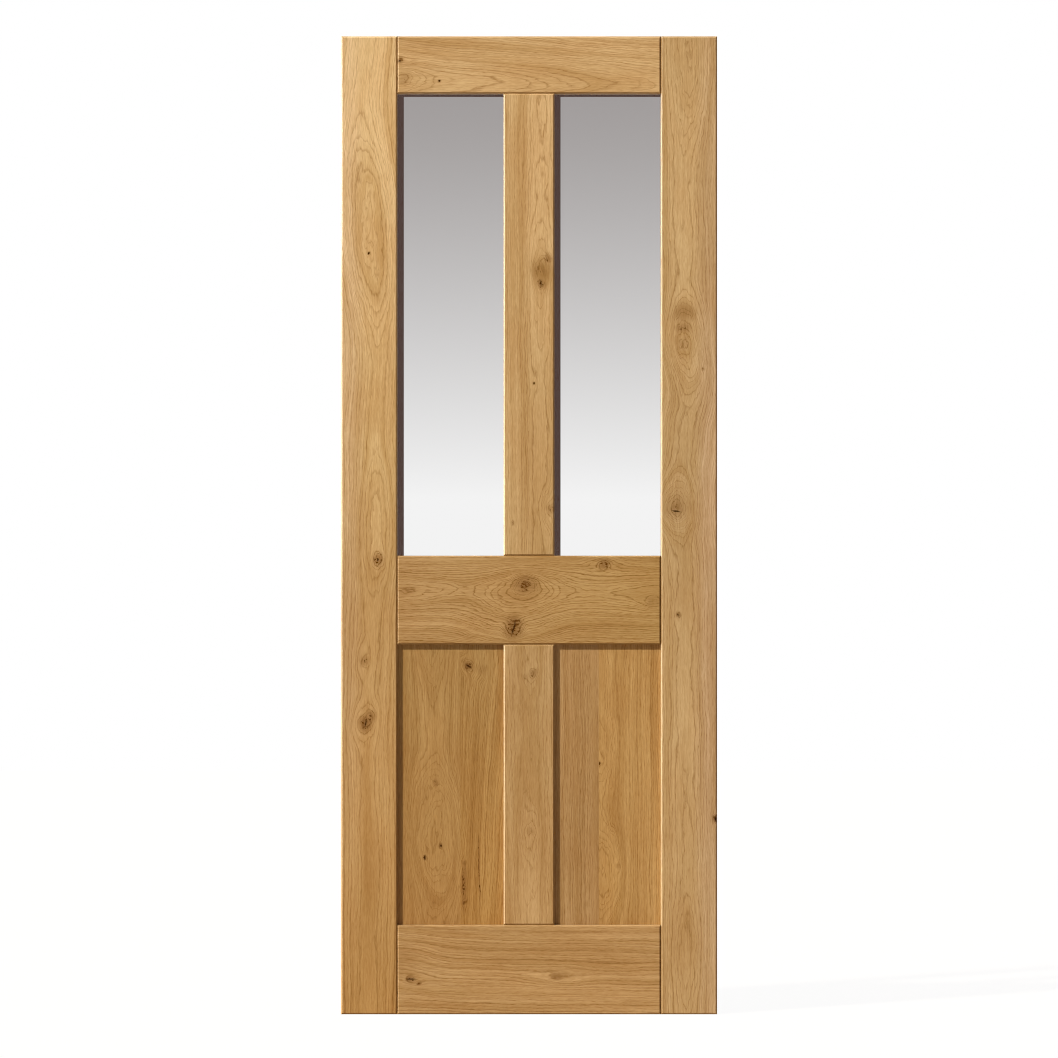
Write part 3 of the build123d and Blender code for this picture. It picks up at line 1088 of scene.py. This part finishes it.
class DoorOakSettings(bpy.types.PropertyGroup):
    """The boards' finish, and the pins through the beads."""

    stain: bpy.props.FloatVectorProperty(
        name="Stain", description="Colour that the tone of every board is multiplied by",
        default=(1, 1, 1), subtype="COLOR", min=0, max=1,
    )
    lacquer_shine: bpy.props.FloatProperty(
        name="Lacquer shine", description="How much the clear lacquer mirrors", default=0.28,
        min=0, max=1, subtype="FACTOR",
    )
    pin_spacing: bpy.props.FloatProperty(
        name="Pin spacing", description="From one pin in a bead to the next",
        default=150 * MM, unit="LENGTH",
    )
    pin_radius: bpy.props.FloatProperty(
        name="Pin radius", description="Radius of the filler over each pin",
        default=1.1 * MM, unit="LENGTH",
    )


class DoorGlassSettings(bpy.types.PropertyGroup):
    """The panes."""

    glass_tint: bpy.props.FloatVectorProperty(
        name="Glass tint", description="Colour of light that has come through a pane",
        default=linear(WHITE), subtype="COLOR", min=0, max=1,
    )


class DoorStageSettings(bpy.types.PropertyGroup):
    """The floor, the lamps, the cards behind the panes and the camera."""

    fill: bpy.props.FloatProperty(
        name="Fill", description="Strength of the light from all round", default=0.22, min=0,
    )
    fill_colour: bpy.props.FloatVectorProperty(
        name="Fill colour", description="Colour of the light from all round",
        default=linear("FFE7CE"), subtype="COLOR", min=0, max=1,
    )
    mirrored: bpy.props.FloatProperty(
        name="Mirrored", description="Strength of the room that the glass and lacquer mirror",
        default=0.4, min=0,
    )
    key: bpy.props.FloatProperty(
        name="Key", description="Strength of the lamp at the upper left", default=4.35, min=0,
    )
    key_spread: bpy.props.FloatProperty(
        name="Key spread", description="Angle that the key lamp covers, in degrees", default=3.5,
    )
    left_rim: bpy.props.FloatProperty(
        name="Left rim", description="Strength of the lamp that grazes the leaf from its left",
        default=5.15, min=0,
    )
    top_rim: bpy.props.FloatProperty(
        name="Top rim", description="Strength of the lamp that grazes the leaf from above",
        default=0.72, min=0,
    )
    rim_colour: bpy.props.FloatVectorProperty(
        name="Rim colour", description="Colour of the two grazing lamps",
        default=linear("EBFCFF"), subtype="COLOR", min=0, max=1,
    )
    rim_spread: bpy.props.FloatProperty(
        name="Rim spread", description="Angle that each grazing lamp covers, in degrees",
        default=16.0,
    )
    card_gap: bpy.props.FloatProperty(
        name="Card gap", description="From the back of the leaf to the cards", default=8 * MM,
        unit="LENGTH",
    )
    card_fall: bpy.props.FloatProperty(
        name="Card fall", description="How late the card's grey turns white, 1 is evenly",
        default=1.4,
    )
    shade_width: bpy.props.FloatProperty(
        name="Shade width", description="Width of the shade at the left of each pane",
        default=12.6 * MM, unit="LENGTH",
    )
    shade_height: bpy.props.FloatProperty(
        name="Shade height", description="Height of the shade at the top of each pane",
        default=3.9 * MM, unit="LENGTH",
    )
    floor_reach: bpy.props.FloatProperty(
        name="Floor reach", description="How far the floor runs each way", default=12.0,
        unit="LENGTH",
    )
    floor_white: bpy.props.FloatProperty(
        name="Floor white", description="Share of the floor's look that is plain white",
        default=0.9, min=0, max=1,
    )
    lens: bpy.props.FloatProperty(
        name="Lens", description="Focal length of the front camera in millimetres", default=200.0,
    )
    leaf_pixels: bpy.props.FloatProperty(
        name="Leaf pixels", description="Height of the leaf in the picture", default=978.2,
    )
    leaf_rise_pixels: bpy.props.FloatProperty(
        name="Leaf rise", description="Pixels from the picture's middle up to the leaf's",
        default=3.7,
    )


class DOOR_OT_boards(bpy.types.Operator):
    """Give each stile, rail, muntin and panel board its own oak"""

    bl_idname = "door.boards"
    bl_label = "Finish the boards"

    def execute(self, context):
        settings = context.scene.door_oak
        sawn_oak(settings)
        softwood_core()
        vee_painted_shade()
        for board in BOARDS:
            give(board.node, board_material(board, settings))
        return {"FINISHED"}


class DOOR_OT_lippings(bpy.types.Operator):
    """Give the lippings on the long edges their straight-grained oak"""

    bl_idname = "door.lippings"
    bl_label = "Finish the lippings"

    def execute(self, context):
        for node, pith in (("left_edge_lipping", 40), ("right_edge_lipping", LEAF_WIDTH - 60)):
            board = Board(
                node, "Z", AMBER, GOLDEN, pith, depth=240, lean=0.004, ring=3.0, bold=0.7
            )
            give(node, board_material(board, context.scene.door_oak))
        return {"FINISHED"}


class DOOR_OT_beads(bpy.types.Operator):
    """Give the glazing beads at the back their oak, with the grain along each bead"""

    bl_idname = "door.beads"
    bl_label = "Finish the beads"

    def execute(self, context):
        for side in SIDES:
            for place in PANE_SIDES:
                node = f"{side}_pane_{place}_bead"
                low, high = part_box(node)
                grain, axis = ("Z", 0) if place in SIDES else ("X", 2)
                pith = (low[axis] + high[axis]) / 2 / MM + BEAD_PITH
                board = Board(
                    node, grain, AMBER, GOLDEN, pith, depth=60, lean=0.006, ring=2.8, bold=0.7
                )
                give(node, board_material(board, context.scene.door_oak))
        return {"FINISHED"}


class DOOR_OT_pins(bpy.types.Operator):
    """Add the filled holes of the pins that hold the beads"""

    bl_idname = "door.pins"
    bl_label = "Pin the beads"

    def execute(self, context):
        holes = filled_pin_holes(context.scene.door_oak)
        holes.data.materials.append(wood_filler())
        return {"FINISHED"}


class DOOR_OT_glazing(bpy.types.Operator):
    """Give the panes their glass and the seals their tape"""

    bl_idname = "door.glazing"
    bl_label = "Finish the glazing"

    def execute(self, context):
        glass = float_glass(context.scene.door_glass)
        tape = sealing_tape()
        for side in SIDES:
            give(f"{side}_pane", glass)
            for place in PANE_SIDES:
                give(f"{side}_pane_{place}_seal", tape)
        return {"FINISHED"}


class DOOR_OT_stage(bpy.types.Operator):
    """Set the floor, the world, the lamps, the cards behind the panes and the camera"""

    bl_idname = "door.stage"
    bl_label = "Set the stage"

    def execute(self, context):
        settings = context.scene.door_stage
        white_world(settings)
        reach = settings.floor_reach
        floor = flat_sheet("pale_floor", (
            (-reach, -reach, 0), (reach, -reach, 0), (reach, reach, 0), (-reach, reach, 0),
        ))
        floor.data.materials.append(floor_paint(settings))
        cards_behind_panes(settings)
        lamp_from("key lamp", KEY_FROM, settings.key, settings.key_spread)
        rims = (
            ("left rim lamp", LEFT_RIM_FROM, settings.left_rim),
            ("top rim lamp", TOP_RIM_FROM, settings.top_rim),
        )
        grazing = [lamp_from(*rim, settings.rim_spread, settings.rim_colour) for rim in rims]
        light_only(grazing, [board.node for board in BOARDS if "panel" not in board.node])
        front_camera(settings)
        context.scene.view_settings.view_transform = "Standard"
        context.scene.cycles.filter_width = 1.0
        return {"FINISHED"}


class DOOR_PT_leaf(bpy.types.Panel):
    """Lists the steps that finish the leaf"""

    bl_label = "Door leaf"
    bl_idname = "DOOR_PT_leaf"
    bl_space_type = "VIEW_3D"
    bl_region_type = "UI"
    bl_category = "Door leaf"

    def draw(self, context):
        for step in STEPS:
            self.layout.operator(step.bl_idname)


STEPS = (
    DOOR_OT_boards, DOOR_OT_lippings, DOOR_OT_beads, DOOR_OT_pins, DOOR_OT_glazing, DOOR_OT_stage,
)
CLASSES = (DoorOakSettings, DoorGlassSettings, DoorStageSettings, *STEPS, DOOR_PT_leaf)


def register():
    """Registers the settings, the steps and the panel."""
    for cls in CLASSES:
        bpy.utils.register_class(cls)
    bpy.types.Scene.door_oak = bpy.props.PointerProperty(type=DoorOakSettings)
    bpy.types.Scene.door_glass = bpy.props.PointerProperty(type=DoorGlassSettings)
    bpy.types.Scene.door_stage = bpy.props.PointerProperty(type=DoorStageSettings)


def unregister():
    """Takes them away again."""
    del bpy.types.Scene.door_stage
    del bpy.types.Scene.door_glass
    del bpy.types.Scene.door_oak
    for cls in reversed(CLASSES):
        bpy.utils.unregister_class(cls)


def main():
    """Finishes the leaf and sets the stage."""
    register()
    bpy.ops.door.boards()
    bpy.ops.door.lippings()
    bpy.ops.door.beads()
    bpy.ops.door.pins()
    bpy.ops.door.glazing()
    bpy.ops.door.stage()


if __name__ == "__main__":
    main()
